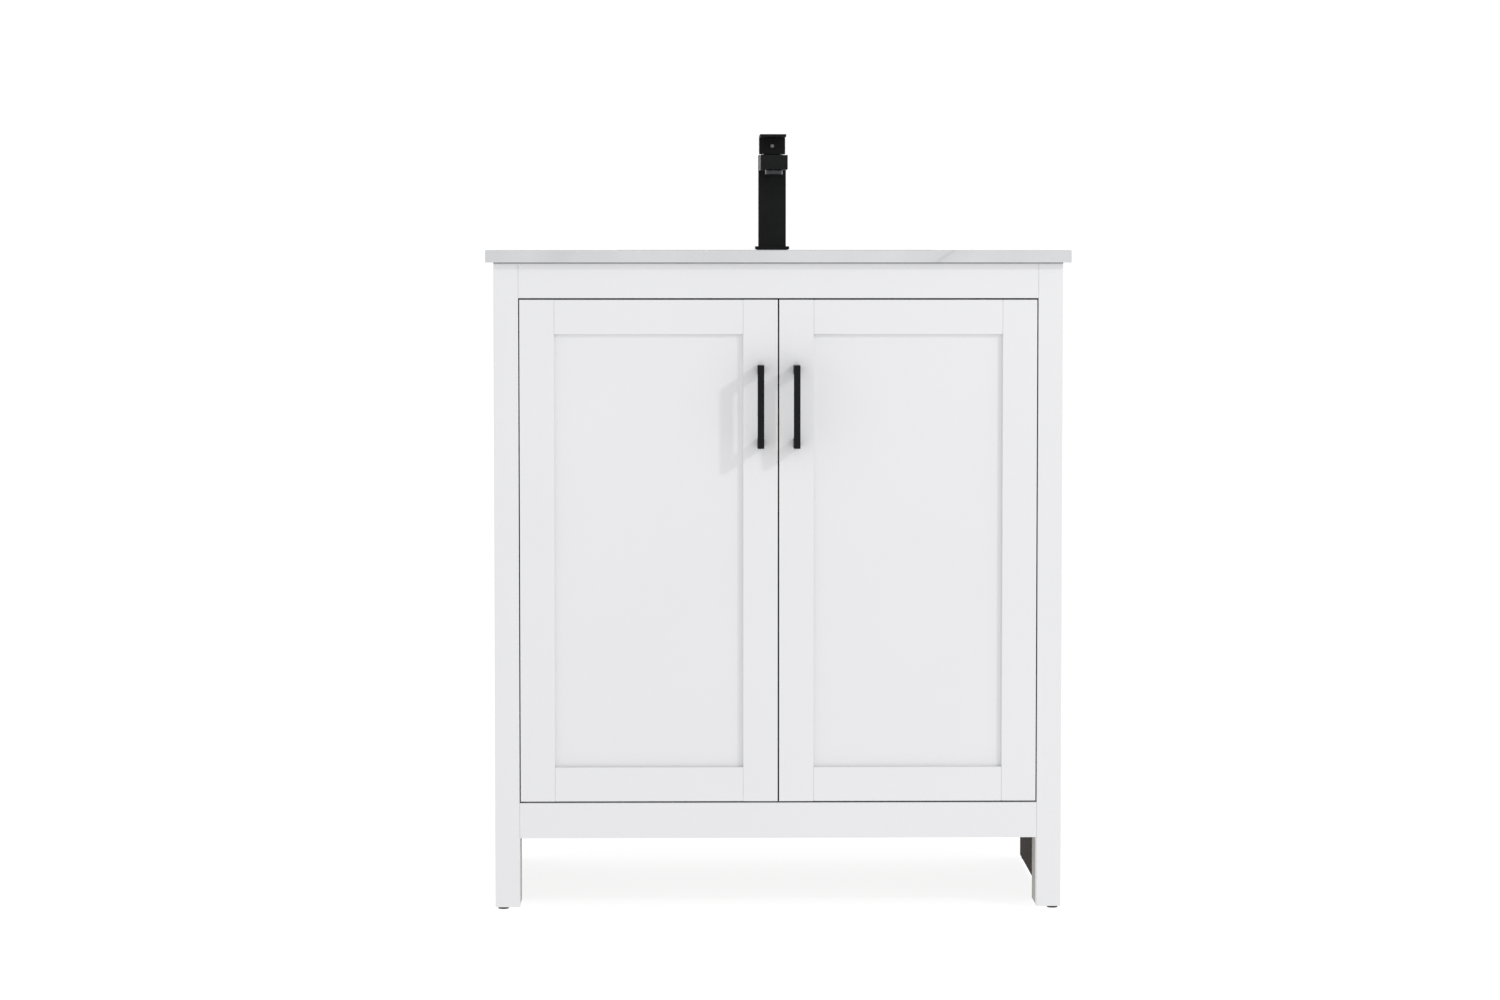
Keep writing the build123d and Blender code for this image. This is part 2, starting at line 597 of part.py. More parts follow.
def make_basin_clips():
    """Clips that clamp the basin's flange to the counter, each with its bolt and nut."""
    clips = []
    flange_bottom = COUNTER_BOTTOM - FLANGE_THICKNESS
    plate_low = flange_bottom - CLIP_THICKNESS
    inner_x = BOWL_WIDTH / 2 + FLANGE_WIDTH - CLIP_GRIP
    outer_x = CLIP_BOLT_X + CLIP_FOOT
    bolt_top = COUNTER_BOTTOM + CLIP_BOLT_IN_COUNTER
    nut_low = plate_low - CLIP_NUT_HEIGHT
    for y in clip_places():
        y_low = y - CLIP_WIDTH / 2
        y_high = y + CLIP_WIDTH / 2
        clip = block(inner_x, outer_x, y_low, y_high, plate_low, flange_bottom)
        clip += block(outer_x - CLIP_THICKNESS, outer_x, y_low, y_high, flange_bottom, COUNTER_BOTTOM)
        clip += upright(CLIP_BOLT_X, y, plate_low, bolt_top, CLIP_BOLT_RADIUS)
        clip += hex_nut(CLIP_BOLT_X, y, nut_low, plate_low, 2 * CLIP_BOLT_RADIUS, CLIP_BOLT_RADIUS)
        clip += upright(CLIP_BOLT_X, y, nut_low - CLIP_BOLT_TAIL, plate_low, CLIP_BOLT_RADIUS)
        clips += pair(clip)
    save(Compound(clips), "basin_clips")


# ---------------------------------------------------------------- drain

def make_drain():
    """Flange, gasket, locknut, body with its spider, tailpiece and push stopper."""
    y = BOWL_Y
    lip_low = BOWL_FLOOR - DISH_DEPTH
    lip_top = lip_low + DRAIN_LIP_THICKNESS
    neck_low = lip_low - DRAIN_NECK_LENGTH
    flange = upright(0, y, lip_low, lip_top, DRAIN_LIP_RADIUS)
    flange += upright(0, y, neck_low, lip_low, DRAIN_NECK_RADIUS)
    flange -= upright(0, y, neck_low, lip_top, DRAIN_BORE_RADIUS)
    slot_low = DRAIN_SEAT + DUCT_WALL
    slot_half = DRAIN_BORE_RADIUS / 2
    flange -= block(
        -slot_half, slot_half, y, y + DRAIN_NECK_RADIUS, slot_low, slot_low + DUCT_GAP
    )
    save(flange, "drain_flange")

    gasket_low = DRAIN_SEAT - DRAIN_GASKET_HEIGHT
    save(tube(0, y, gasket_low, DRAIN_SEAT, DRAIN_GASKET_RADIUS, DRAIN_NECK_RADIUS), "drain_gasket")
    nut_low = gasket_low - DRAIN_NUT_HEIGHT
    save(hex_nut(0, y, nut_low, gasket_low, DRAIN_NUT_RADIUS, DRAIN_NECK_RADIUS), "drain_locknut")

    body_top = neck_low + DRAIN_SOCKET_DEPTH
    body_low = body_top - DRAIN_BODY_LENGTH
    spigot_top = body_low + DRAIN_SOCKET_DEPTH
    body = upright(0, y, body_low, body_top, DRAIN_BODY_RADIUS)
    body -= upright(0, y, neck_low, body_top, DRAIN_NECK_RADIUS)
    body -= upright(0, y, body_low, neck_low, TAILPIECE_SPIGOT_RADIUS)
    spider_low = neck_low - SPIDER_THICKNESS
    spider = upright(0, y, spider_low, neck_low, SPIDER_HUB_RADIUS)
    for arm_angle in (90, 210, 330):
        arm_length = DRAIN_BORE_RADIUS + TAILPIECE_WALL
        arm = Pos(arm_length / 2, 0, SPIDER_THICKNESS / 2) * Box(arm_length, SPIDER_ARM_WIDTH, SPIDER_THICKNESS)
        spider += Pos(0, y, spider_low) * Rot(0, 0, arm_angle) * arm
    stem_bore = STOPPER_STEM_RADIUS + SLIDING_CLEARANCE
    body += spider
    body -= upright(0, y, spider_low, neck_low, stem_bore)
    save(body, "drain_body")

    tail_low = body_low - TAILPIECE_LENGTH
    tailpiece = upright(0, y, tail_low, body_low, TAILPIECE_RADIUS)
    tailpiece += upright(0, y, body_low, spigot_top, TAILPIECE_SPIGOT_RADIUS)
    tailpiece -= upright(0, y, tail_low, spigot_top, TAILPIECE_RADIUS - TAILPIECE_WALL)
    save(tailpiece, "drain_tailpiece")

    cap_low = lip_top + STOPPER_GAP
    cap = upright(0, y, cap_low, cap_low + STOPPER_THICKNESS, STOPPER_RADIUS)
    cap = fillet(cap.edges().group_by(Axis.Z)[-1], STOPPER_THICKNESS / 2)
    stopper = cap + upright(0, y, cap_low - STOPPER_STEM_LENGTH, cap_low, STOPPER_STEM_RADIUS)
    save(stopper, "drain_stopper")


# ---------------------------------------------------------------- faucet

def faucet_block(half_x, y_low, y_high, z_low, z_high):
    """A box centred on the faucet in X, with Y from its axis and Z from the counter."""
    return block(
        -half_x, half_x, FAUCET_Y + y_low, FAUCET_Y + y_high, TOTAL_HEIGHT + z_low, TOTAL_HEIGHT + z_high
    )


def faucet_rod(z_low, z_high, radius, x=0.0, y=0.0):
    """An upright cylinder, placed from the faucet's axis and the counter's top."""
    return upright(x, FAUCET_Y + y, TOTAL_HEIGHT + z_low, TOTAL_HEIGHT + z_high, radius)


def make_faucet_mounting():
    """Gasket, base plate, hollow shank with the two inlet tubes in it, washer and locknut."""
    gasket_half = FAUCET_GASKET_SIZE / 2
    gasket = faucet_block(gasket_half, -gasket_half, gasket_half, 0, FAUCET_GASKET_THICKNESS)
    gasket -= faucet_rod(0, FAUCET_GASKET_THICKNESS, SHANK_RADIUS)
    save(gasket, "faucet_gasket")

    plate_half = BASE_PLATE_SIZE / 2
    plate = faucet_block(plate_half, -plate_half, plate_half, FAUCET_GASKET_THICKNESS, BASE_PLATE_TOP)
    plate -= faucet_rod(FAUCET_GASKET_THICKNESS, BASE_PLATE_TOP, SHANK_RADIUS)
    save(plate, "faucet_base_plate")

    shank_low = -COUNTER_THICKNESS - SHANK_BELOW_COUNTER
    shank = faucet_rod(shank_low, BASE_PLATE_TOP, SHANK_RADIUS)
    shank -= faucet_rod(shank_low, BASE_PLATE_TOP, SHANK_BORE_RADIUS)
    save(shank, "faucet_shank")

    ferrule_low = shank_low - INLET_BELOW_SHANK
    ferrule_top = ferrule_low + INLET_THREAD_DEPTH
    inlets = []
    for x in (-INLET_OFFSET, INLET_OFFSET):
        ferrule = faucet_rod(ferrule_low, ferrule_top, INLET_FERRULE_RADIUS, x=x)
        ferrule -= faucet_rod(ferrule_low, ferrule_top, INLET_THREAD_RADIUS, x=x)
        inlet = faucet_rod(ferrule_top, BASE_PLATE_TOP, INLET_TUBE_RADIUS, x=x)
        inlet -= faucet_rod(ferrule_top, BASE_PLATE_TOP, INLET_RADIUS, x=x)
        inlets += [ferrule, inlet]
    save(Compound(inlets), "faucet_inlets")

    washer_low = -COUNTER_THICKNESS - FAUCET_WASHER_THICKNESS
    washer = faucet_rod(washer_low, -COUNTER_THICKNESS, FAUCET_WASHER_RADIUS)
    washer -= faucet_rod(washer_low, -COUNTER_THICKNESS, SHANK_RADIUS)
    save(washer, "faucet_washer")
    nut_top = TOTAL_HEIGHT + washer_low
    nut = hex_nut(0, FAUCET_Y, nut_top - FAUCET_NUT_HEIGHT, nut_top, FAUCET_NUT_RADIUS, SHANK_RADIUS)
    save(nut, "faucet_locknut")


def make_faucet_body():
    """Column, spout, aerator, cartridge and the nut that holds it."""
    half = COLUMN_SIZE / 2
    nut_low = COLUMN_TOP - CARTRIDGE_NUT_HEIGHT
    cartridge_low = nut_low - CARTRIDGE_HEIGHT
    spout_mid = (SPOUT_BOTTOM + SPOUT_TOP) / 2
    water_half = SPOUT_WIDTH / 2 - SPOUT_WALL
    water_rise = (SPOUT_TOP - SPOUT_BOTTOM) / 2 - SPOUT_WALL

    column = faucet_block(half, -half, half, BASE_PLATE_TOP, COLUMN_TOP)
    column -= faucet_rod(nut_low, COLUMN_TOP, CARTRIDGE_NUT_RADIUS)
    column -= faucet_rod(cartridge_low, nut_low, CARTRIDGE_RADIUS)
    for x in (-INLET_OFFSET, INLET_OFFSET):
        column -= faucet_rod(BASE_PLATE_TOP, cartridge_low, INLET_RADIUS, x=x)
    outlet_half = CARTRIDGE_RADIUS / 2
    column -= faucet_block(outlet_half, -half, 0, spout_mid - water_rise, spout_mid + water_rise)
    save(column, "faucet_column")

    tip = -half - SPOUT_REACH
    spout = faucet_block(SPOUT_WIDTH / 2, tip, -half, SPOUT_BOTTOM, SPOUT_TOP)
    spout -= faucet_block(
        water_half, tip + SPOUT_WALL, -half, spout_mid - water_rise, spout_mid + water_rise
    )
    aerator_y = tip + AERATOR_FROM_TIP
    thread_top = SPOUT_BOTTOM + SPOUT_WALL
    spout -= faucet_rod(SPOUT_BOTTOM, thread_top, AERATOR_THREAD_RADIUS, y=aerator_y)
    save(spout, "faucet_spout")

    outlet_low = SPOUT_BOTTOM - AERATOR_DROP
    aerator = faucet_rod(outlet_low, SPOUT_BOTTOM, AERATOR_RADIUS, y=aerator_y)
    aerator += faucet_rod(SPOUT_BOTTOM, thread_top, AERATOR_THREAD_RADIUS, y=aerator_y)
    aerator -= faucet_rod(outlet_low, outlet_low + AERATOR_BORE_DEPTH, AERATOR_BORE_RADIUS, y=aerator_y)
    save(aerator, "faucet_aerator")

    bore_low = nut_low - CARTRIDGE_BORE_DEPTH
    stem_bore = STEM_RADIUS + SLIDING_CLEARANCE
    cartridge = faucet_rod(cartridge_low, nut_low, CARTRIDGE_RADIUS)
    cartridge -= faucet_rod(bore_low, nut_low, stem_bore)
    save(cartridge, "faucet_cartridge")
    nut = faucet_rod(nut_low, COLUMN_TOP, CARTRIDGE_NUT_RADIUS)
    nut -= faucet_rod(nut_low, COLUMN_TOP, stem_bore)
    save(nut, "faucet_cartridge_nut")

    tongue_half = STEM_TONGUE_WIDTH / 2
    tongue_depth = STEM_TONGUE_DEPTH / 2
    tongue_top = HANDLE_PIVOT_HEIGHT + STEM_TONGUE_DEPTH / 2
    collar_low = COLUMN_TOP + SLIDING_CLEARANCE
    collar_top = HANDLE_BOTTOM - SLIDING_CLEARANCE
    stem = faucet_rod(bore_low + SLIDING_CLEARANCE, collar_top, STEM_RADIUS)
    stem += faucet_rod(collar_low, collar_top, COLLAR_RADIUS)
    stem += faucet_block(tongue_half, -tongue_depth, tongue_depth, collar_top, tongue_top)
    wall_half = HANDLE_SIZE / 2 - HANDLE_WALL - STEM_WALL_PLAY
    wall_rear = -wall_half + STEM_WALL_THICKNESS
    stem += faucet_block(wall_half, -wall_half, wall_rear, collar_top, collar_top + STEM_WALL_HEIGHT)
    pivot_z = TOTAL_HEIGHT + HANDLE_PIVOT_HEIGHT
    pin_bore = HANDLE_PIN_RADIUS + SLIDING_CLEARANCE
    stem -= along_x(-tongue_half, tongue_half, FAUCET_Y, pivot_z, pin_bore)
    save(stem, "faucet_stem")


def make_faucet_handle():
    """Handle block with a rising underside at its rear, its pin, the lever plate and the index."""
    half = HANDLE_SIZE / 2
    inside = half - HANDLE_WALL
    handle = faucet_block(half, -half, half, HANDLE_BOTTOM, HANDLE_TOP)
    handle -= faucet_block(inside, -inside, inside, HANDLE_BOTTOM, HANDLE_TOP - HANDLE_ROOF)
    rise = (half - HANDLE_RELIEF_START) * math.tan(math.radians(HANDLE_RELIEF_ANGLE))
    wedge = Polyline(
        (HANDLE_RELIEF_START, HANDLE_BOTTOM),
        (half, HANDLE_BOTTOM),
        (half, HANDLE_BOTTOM + rise),
        close=True,
    )
    profile = Plane(origin=(half, FAUCET_Y, TOTAL_HEIGHT), x_dir=(0, 1, 0), z_dir=(1, 0, 0)) * make_face(wedge)
    handle -= extrude(profile, HANDLE_SIZE, dir=(-1, 0, 0))
    pivot_z = TOTAL_HEIGHT + HANDLE_PIVOT_HEIGHT
    pin_half = HANDLE_PIN_LENGTH / 2
    pin = along_x(-pin_half, pin_half, FAUCET_Y, pivot_z, HANDLE_PIN_RADIUS)
    handle -= pin
    index_z = TOTAL_HEIGHT + (HANDLE_BOTTOM + HANDLE_TOP) / 2
    index_front = FAUCET_Y - half
    index = along_y(0, index_front - INDEX_PROUD, index_front + INDEX_DEPTH, index_z, INDEX_RADIUS)
    handle -= index
    save(handle, "faucet_handle_block")
    save(pin, "faucet_handle_pin")
    save(index, "faucet_index_button")
    lever = faucet_block(half, -half - LEVER_REACH, half, HANDLE_TOP, HANDLE_TOP + LEVER_THICKNESS)
    save(lever, "faucet_lever_plate")


make_face_frame()
make_sides()
make_bottom_panel()
make_stretcher_and_back()
make_support_blocks()
make_glides()
make_door_leaf()
make_hinge_arms()
make_counter()
make_basin()
make_overflow_ring()
make_basin_clips()
make_drain()
make_faucet_mounting()
make_faucet_body()
make_faucet_handle()
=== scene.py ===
import json
import math

import bpy
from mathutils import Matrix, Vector


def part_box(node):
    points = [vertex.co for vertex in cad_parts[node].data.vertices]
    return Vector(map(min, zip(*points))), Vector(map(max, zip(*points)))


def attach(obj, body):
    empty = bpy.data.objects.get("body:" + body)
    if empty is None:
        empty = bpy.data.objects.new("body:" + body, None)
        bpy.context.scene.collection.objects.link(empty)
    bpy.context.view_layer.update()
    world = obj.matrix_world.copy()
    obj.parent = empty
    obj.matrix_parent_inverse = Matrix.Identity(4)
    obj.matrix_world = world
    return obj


# Looks of the bathroom vanity cabinet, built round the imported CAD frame. Metres, +Z up, doors face -Y.

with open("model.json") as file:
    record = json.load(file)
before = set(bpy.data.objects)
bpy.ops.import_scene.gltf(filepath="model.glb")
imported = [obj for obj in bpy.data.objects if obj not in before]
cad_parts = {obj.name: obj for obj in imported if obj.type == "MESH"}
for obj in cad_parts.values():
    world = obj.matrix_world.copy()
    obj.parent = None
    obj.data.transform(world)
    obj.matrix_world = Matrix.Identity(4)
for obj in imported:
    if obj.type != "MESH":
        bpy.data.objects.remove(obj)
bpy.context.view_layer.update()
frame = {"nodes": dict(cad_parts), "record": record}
NODES = frame["nodes"]

MM = 0.001

# Edges, in metres
PAINTED_EDGE = 0.9 * MM
BOARD_EDGE = 0.4 * MM
METAL_EDGE = 0.6 * MM
COATED_EDGE = 0.3 * MM
FINE_EDGE = 0.25 * MM

# Camera: the eye is level with the counter, left of the middle, and looks slightly down
PANEL_RECESS = 6.0 * MM       # panel behind the door's face
EYE_BEFORE_DOORS = 5.549
EYE_X = -0.126
EYE_Z = 0.8704
AIM = Vector((0.0160, 1.0, -0.0599))
LENS_MM = 102.2
SENSOR_MM = 36.0

# Small pieces
SCREW_RINGS = (0.05, 0.15, 0.28, 0.42, 0.55, 0.66, 0.82, 0.94, 1.0)
SCREW_STEPS = 48
SCREW_DOME = 0.34             # the head's height over its radius
SCREW_CROWN = 0.45            # share of that height lost from middle to edge
SCREW_RIM = 0.35              # share of that height at the rim
SCREW_ARM = 0.16              # half width of the cross over the head's radius
SCREW_REACH = 0.62            # length of the cross's arms over the head's radius
SCREW_RECESS = 0.62           # depth of the cross over the head's height
THREAD_STEPS = 32
THREAD_DEPTH = 0.45           # a thread's height over its pitch
THREAD_HALF_FOOT = 0.42       # half its width at the foot, over its pitch
PULL_HEAD_SHARE = 0.94        # dome's radius over the pull screw's head
PULL_SCREW_HEAD = 4.5 * MM
SMALL_SCREW_HEAD = 3.4 * MM
CUP_WING = 31.0 * MM          # cup centre from the end of its wing
CUP_SCREW = 24.0 * MM         # wing screw from the cup's centre
PLATE_HEIGHT = 50.0 * MM
PLATE_THICKNESS = 4.0 * MM
PLATE_SCREW = 17.0 * MM       # plate screw above and below the hinge's centre
ARM_THICKNESS = 9.0 * MM
ARM_SCREW = 9.0 * MM          # arm screw in front of and behind the plate's middle
SHANK_PITCH = 1.6 * MM
DRAIN_PITCH = 2.0 * MM
DRAIN_NECK_RADIUS = 21.5 * MM
AERATOR_BORE_RADIUS = 8.5 * MM
SCREEN_CELL = 1.9 * MM
SCREEN_LOW = 1.0 * MM         # above the aerator's mouth
SCREEN_HIGH = 2.2 * MM
SCREEN_OUTER = 0.62           # corner radii of each cell's wall, over the cell
SCREEN_INNER = 0.46
SEAL_INSIDE_FLANGE = 15.0 * MM
SEAL_CORNER = 48.0 * MM
BOWL_SEAL = 2.2 * MM
FRAME_SEAL = 1.3 * MM
SEAL_CORNER_STEPS = 12
BEAD_STEPS = 4
BEAD_SCOOP = 0.275            # share of the bead's size hollowed out at its middle

# Studio
CABINET_MIDDLE = Vector((0.0, 0.0, 0.5))
KEY_DIRECTION = Vector((34.0, -30.75, 25.5)).normalized()
KEY_DISTANCE = 5.0
KEY_SIZE = 0.25
KEY_POWER = 48.0
FILL_PLACE = Vector((-0.13, -4.6, 2.3))
FILL_SIZE = 0.5
FILL_POWER = 7.0
FLOOR_SIZE = 30.0
FLOOR_GREY = 0.25
FLOOR_GLOW = 0.88
WORLD_HORIZON = 1.02
WORLD_ABOVE = 0.68
WORLD_FADE_LOW = 0.10         # heights on the sky's unit sphere
WORLD_FADE_HIGH = 0.55


# ---------------------------------------------------------------- camera, light and floor

def make_camera():
    """The photograph's viewpoint, aimed without any lens shift."""
    door_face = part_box("left_door_panel")[0].y - PANEL_RECESS
    data = bpy.data.cameras.new("camera")
    data.lens = LENS_MM
    data.sensor_width = SENSOR_MM
    camera = bpy.data.objects.new("camera", data)
    camera.location = (EYE_X, door_face - EYE_BEFORE_DOORS, EYE_Z)
    camera.rotation_mode = "QUATERNION"
    camera.rotation_quaternion = AIM.to_track_quat("-Z", "Y")
    bpy.context.collection.objects.link(camera)
    bpy.context.scene.camera = camera


def make_light(name, place, size, power):
    """A square light that faces the middle of the cabinet."""
    data = bpy.data.lights.new(name, "AREA")
    data.shape = "SQUARE"
    data.size = size
    data.energy = power
    light = bpy.data.objects.new(name, data)
    light.location = place
    light.rotation_mode = "QUATERNION"
    light.rotation_quaternion = (CABINET_MIDDLE - place).to_track_quat("-Z", "Y")
    bpy.context.collection.objects.link(light)


def make_lights():
    """A small key from the front right, above, and a fill from in front."""
    make_light("key", CABINET_MIDDLE + KEY_DIRECTION * KEY_DISTANCE, KEY_SIZE, KEY_POWER)
    make_light("fill", FILL_PLACE, FILL_SIZE, FILL_POWER)


def make_world():
    """A white studio: bright round the horizon and a little dimmer overhead."""
    world = bpy.data.worlds.new("studio")
    bpy.context.scene.world = world
    world.use_nodes = True
    nodes = world.node_tree.nodes
    links = world.node_tree.links
    background = nodes["Background"]
    coordinates = nodes.new("ShaderNodeTexCoord")
    split = nodes.new("ShaderNodeSeparateXYZ")
    fade = nodes.new("ShaderNodeMapRange")
    fade.interpolation_type = "SMOOTHSTEP"
    fade.inputs["From Min"].default_value = WORLD_FADE_LOW
    fade.inputs["From Max"].default_value = WORLD_FADE_HIGH
    fade.inputs["To Min"].default_value = WORLD_HORIZON
    fade.inputs["To Max"].default_value = WORLD_ABOVE
    links.new(coordinates.outputs["Generated"], split.inputs[0])
    links.new(split.outputs["Z"], fade.inputs["Value"])
    links.new(fade.outputs["Result"], background.inputs["Strength"])
    background.inputs["Color"].default_value = (1.0, 1.0, 1.0, 1.0)


def make_floor():
    """A plain pale floor."""
    mesh = bpy.data.meshes.new("floor")
    half = FLOOR_SIZE / 2
    mesh.from_pydata(
        [(-half, -half, 0), (half, -half, 0), (half, half, 0), (-half, half, 0)], [], [(0, 1, 2, 3)]
    )
    floor = bpy.data.objects.new("floor", mesh)
    bpy.context.collection.objects.link(floor)
    sheet = Finish("studio_floor")
    sheet.base(FLOOR_GREY, FLOOR_GREY, FLOOR_GREY)
    sheet.roughness(0.9)
    sheet.set(Specular_IOR_Level=0.0, Emission_Color=(1.0, 1.0, 1.0, 1.0), Emission_Strength=FLOOR_GLOW)
    mesh.materials.append(sheet.material)


# ---------------------------------------------------------------- materials

class Finish:
    """A node material with short calls for the pieces that every finish here is built from."""

    def __init__(self, name):
        self.material = bpy.data.materials.new(name)
        self.material.use_nodes = True
        self.nodes = self.material.node_tree.nodes
        self.links = self.material.node_tree.links
        self.bsdf = self.nodes["Principled BSDF"]
        self.place = self.nodes.new("ShaderNodeTexCoord").outputs["Object"]

    def base(self, red, green, blue):
        """One colour all over."""
        self.bsdf.inputs["Base Color"].default_value = (red, green, blue, 1.0)

    def roughness(self, value):
        """One roughness all over."""
        self.bsdf.inputs["Roughness"].default_value = value

    def set(self, **sockets):
        """Set sockets by name, with _ for a space."""
        for socket, value in sockets.items():
            self.bsdf.inputs[socket.replace("_", " ")].default_value = value

    def stretched(self, x, y, z):
        """The object coordinates, scaled along each axis."""
        mapping = self.nodes.new("ShaderNodeMapping")
        mapping.inputs["Scale"].default_value = (x, y, z)
        self.links.new(self.place, mapping.inputs["Vector"])
        return mapping.outputs["Vector"]

    def noise(self, scale, detail=4.0, rough=0.5, distortion=0.0, where=None):
        """Noise from 0 to 1, on the object coordinates unless it is told where."""
        texture = self.nodes.new("ShaderNodeTexNoise")
        texture.inputs["Scale"].default_value = scale
        texture.inputs["Detail"].default_value = detail
        texture.inputs["Roughness"].default_value = rough
        texture.inputs["Distortion"].default_value = distortion
        self.links.new(where or self.place, texture.inputs["Vector"])
        return texture.outputs["Fac"]

    def ramp(self, value, stops):
        """A colour ramp; stops are (position, (r, g, b))."""
        ramp = self.nodes.new("ShaderNodeValToRGB")
        elements = ramp.color_ramp.elements
        while len(elements) < len(stops):
            elements.new(0.5)
        for element, (position, colour) in zip(elements, stops):
            element.position = position
            element.color = (*colour, 1.0)
        self.links.new(value, ramp.inputs["Fac"])
        return ramp.outputs["Color"]

    def spread(self, value, low, high, from_low=0.3, from_high=0.7):
        """A value moved from one range to another."""
        node = self.nodes.new("ShaderNodeMapRange")
        node.inputs["From Min"].default_value = from_low
        node.inputs["From Max"].default_value = from_high
        node.inputs["To Min"].default_value = low
        node.inputs["To Max"].default_value = high
        self.links.new(value, node.inputs["Value"])
        return node.outputs["Result"]

    def maths(self, operation, first, second=0.0):
        """One sum of a socket and another socket or number."""
        node = self.nodes.new("ShaderNodeMath")
        node.operation = operation
        self.links.new(first, node.inputs[0])
        if isinstance(second, float):
            node.inputs[1].default_value = second
        else:
            self.links.new(second, node.inputs[1])
        return node.outputs[0]

    def mix(self, first, second, amount):
        """A blend of two colours, each a socket or (r, g, b)."""
        node = self.nodes.new("ShaderNodeMix")
        node.data_type = "RGBA"
        colour_a, colour_b = [s for s in node.inputs if s.type == "RGBA"]
        factor = [s for s in node.inputs if s.name == "Factor" and s.type == "VALUE"][0]
        for socket, value in ((colour_a, first), (colour_b, second)):
            if isinstance(value, tuple):
                socket.default_value = (*value, 1.0)
            else:
                self.links.new(value, socket)
        if isinstance(amount, float):
            factor.default_value = amount
        else:
            self.links.new(amount, factor)
        return [s for s in node.outputs if s.type == "RGBA"][0]

    def colour(self, socket):
        """Take the base colour from a socket."""
        self.links.new(socket, self.bsdf.inputs["Base Color"])

    def rough_from(self, socket):
        """Take the roughness from a socket."""
        self.links.new(socket, self.bsdf.inputs["Roughness"])

    def bump(self, height, strength, distance=0.0005):
        """Raise the surface by a height from 0 to 1, times a distance in metres."""
        node = self.nodes.new("ShaderNodeBump")
        node.inputs["Strength"].default_value = strength
        node.inputs["Distance"].default_value = distance
        self.links.new(height, node.inputs["Height"])
        self.links.new(node.outputs["Normal"], self.bsdf.inputs["Normal"])


def white_paint():
    """Sprayed satin paint: a very faint mottle and orange peel."""
    paint = Finish("white_paint")
    mottle = paint.noise(3.0, detail=3.0)
    paint.colour(paint.ramp(mottle, [(0.3, (0.738, 0.738, 0.751)), (0.7, (0.752, 0.752, 0.764))]))
    peel = paint.noise(900.0, detail=2.0)
    paint.rough_from(paint.spread(paint.noise(60.0), 0.34, 0.44))
    paint.bump(peel, 0.05, 0.0002)
    return paint.material


def grey_painted_shade():
    """Grey painted shade: white paint turned grey to stand in for the shade on the hinge strips' inner
    faces, with fine fibres.
    """
    shade_grey = Finish("grey_painted_shade")
    patches = shade_grey.noise(14.0, detail=4.0)
    shade_grey.colour(shade_grey.ramp(patches, [(0.3, (0.410, 0.400, 0.385)), (0.7, (0.475, 0.465, 0.450))]))
    fibres = shade_grey.noise(260.0, detail=4.0, where=shade_grey.stretched(1.0, 1.0, 0.25))
    shade_grey.rough_from(shade_grey.spread(fibres, 0.55, 0.70))
    shade_grey.bump(fibres, 0.12, 0.0002)
    shade_grey.set(Specular_IOR_Level=0.15)
    return shade_grey.material


def brown_board_and_painted_shade():
    """The sealed board inside the cabinet: dark brown with fine fibres, darkened further as painted
    shade for the deep shade inside and under the cabinet.
    """
    board = Finish("brown_board_and_painted_shade")
    fibres = board.noise(220.0, detail=6.0, rough=0.65, where=board.stretched(1.0, 1.0, 0.18))
    patches = board.noise(9.0, detail=3.0)
    # Painted shade: these browns are darker than the board itself, standing in for the shade under and
    # inside the cabinet.
    tone = board.ramp(fibres, [(0.3, (0.028, 0.020, 0.017)), (0.7, (0.052, 0.038, 0.032))])
    board.colour(board.mix(tone, (0.039, 0.028, 0.024), board.spread(patches, 0.0, 0.6)))
    board.rough_from(board.spread(fibres, 0.62, 0.82))
    board.bump(fibres, 0.25, 0.0003)
    board.set(Specular_IOR_Level=0.04)
    return board.material


def white_stone():
    """Polished white quartz with faint grey clouds, soft wandering veins and small flecks."""
    stone = Finish("white_stone")
    warp = stone.noise(1.5, detail=3.5, rough=0.5, distortion=0.9)
    from_vein = stone.maths("ABSOLUTE", stone.maths("SUBTRACT", warp, 0.5))
    core = stone.spread(from_vein, 1.0, 0.0, 0.0, 0.010)
    halo = stone.spread(from_vein, 0.45, 0.0, 0.0, 0.045)
    presence = stone.spread(stone.noise(2.4, detail=2.0), 0.0, 1.0, 0.44, 0.64)
    veins = stone.maths("MULTIPLY", stone.maths("MAXIMUM", core, halo), presence)
    clouds = stone.noise(6.0, detail=5.0, rough=0.6)
    ground = stone.ramp(clouds, [(0.30, (0.560, 0.567, 0.580)), (0.62, (0.625, 0.631, 0.641))])
    veined = stone.mix(ground, (0.45, 0.458, 0.47), veins)
    fleck = stone.nodes.new("ShaderNodeTexVoronoi")
    fleck.inputs["Scale"].default_value = 190.0
    stone.links.new(stone.place, fleck.inputs["Vector"])
    speck = stone.spread(fleck.outputs["Distance"], 0.35, 0.0, 0.0, 0.16)
    stone.colour(stone.mix(veined, (0.53, 0.53, 0.54), speck))
    stone.rough_from(stone.spread(stone.noise(40.0), 0.10, 0.20))
    stone.set(Coat_Weight=0.25, Coat_Roughness=0.06)
    return stone.material


def white_glaze():
    """Vitreous glaze over white clay."""
    glaze = Finish("white_glaze")
    cloud = glaze.noise(5.0, detail=2.0)
    glaze.colour(glaze.ramp(cloud, [(0.3, (0.820, 0.822, 0.825)), (0.7, (0.850, 0.852, 0.855))]))
    glaze.rough_from(glaze.spread(glaze.noise(30.0), 0.06, 0.12))
    glaze.bump(glaze.noise(45.0, detail=1.0), 0.04, 0.0006)
    glaze.set(Coat_Weight=0.6, Coat_Roughness=0.03)
    return glaze.material


